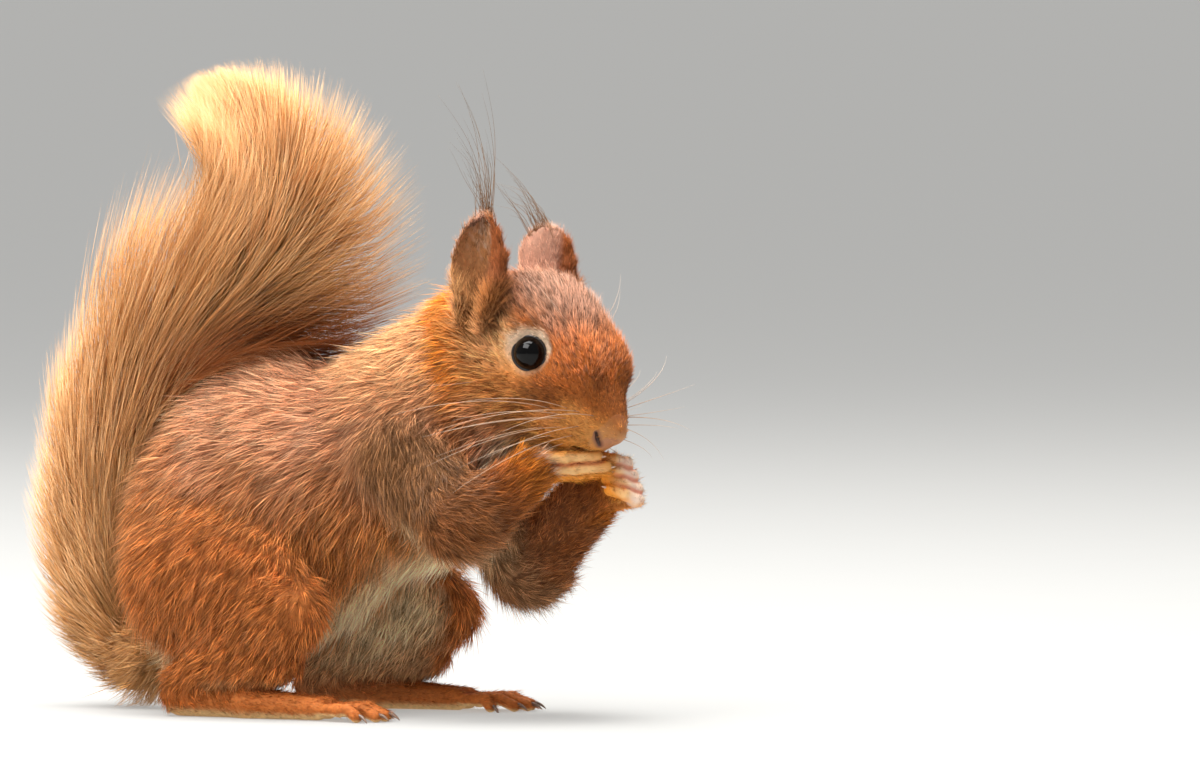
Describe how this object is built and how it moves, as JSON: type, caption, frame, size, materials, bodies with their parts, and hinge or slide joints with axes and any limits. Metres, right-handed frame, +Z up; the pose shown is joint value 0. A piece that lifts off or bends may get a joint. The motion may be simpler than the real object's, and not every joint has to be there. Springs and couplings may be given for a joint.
{
  "type": "red squirrel",
  "caption": "Life-size still model of a Eurasian red squirrel, crouched on its haunches with both hands at its mouth and its tail raised behind its back.",
  "frame": {"origin": "on the floor, under the middle of the outer box", "axes": "+X ahead of the animal, +Y its left, +Z up"},
  "size_m": [0.1884, 0.085, 0.1759],
  "materials": {
    "coat": "short orange-brown fur, pale underneath",
    "tail_fur": "long loose orange-tan fur with pale tips",
    "paw": "very short orange fur over bare pink digits",
    "eye": "wet black, polished"
  },
  "bodies": {
    "root": {"head": "coat", "neck": "coat", "trunk": "coat", "tail_base": "tail_fur", "tail_middle": "tail_fur", "tail_tip": "tail_fur", "ear_left": "coat", "ear_right": "coat", "eye_left": "eye", "eye_right": "eye", "upper_arm_left": "coat", "upper_arm_right": "coat", "forearm_left": "coat", "forearm_right": "coat", "hand_left": "paw", "hand_right": "paw", "thigh_left": "coat", "thigh_right": "coat", "shank_left": "coat", "shank_right": "coat", "foot_left": "paw", "foot_right": "paw"}
  },
  "joints": []
}
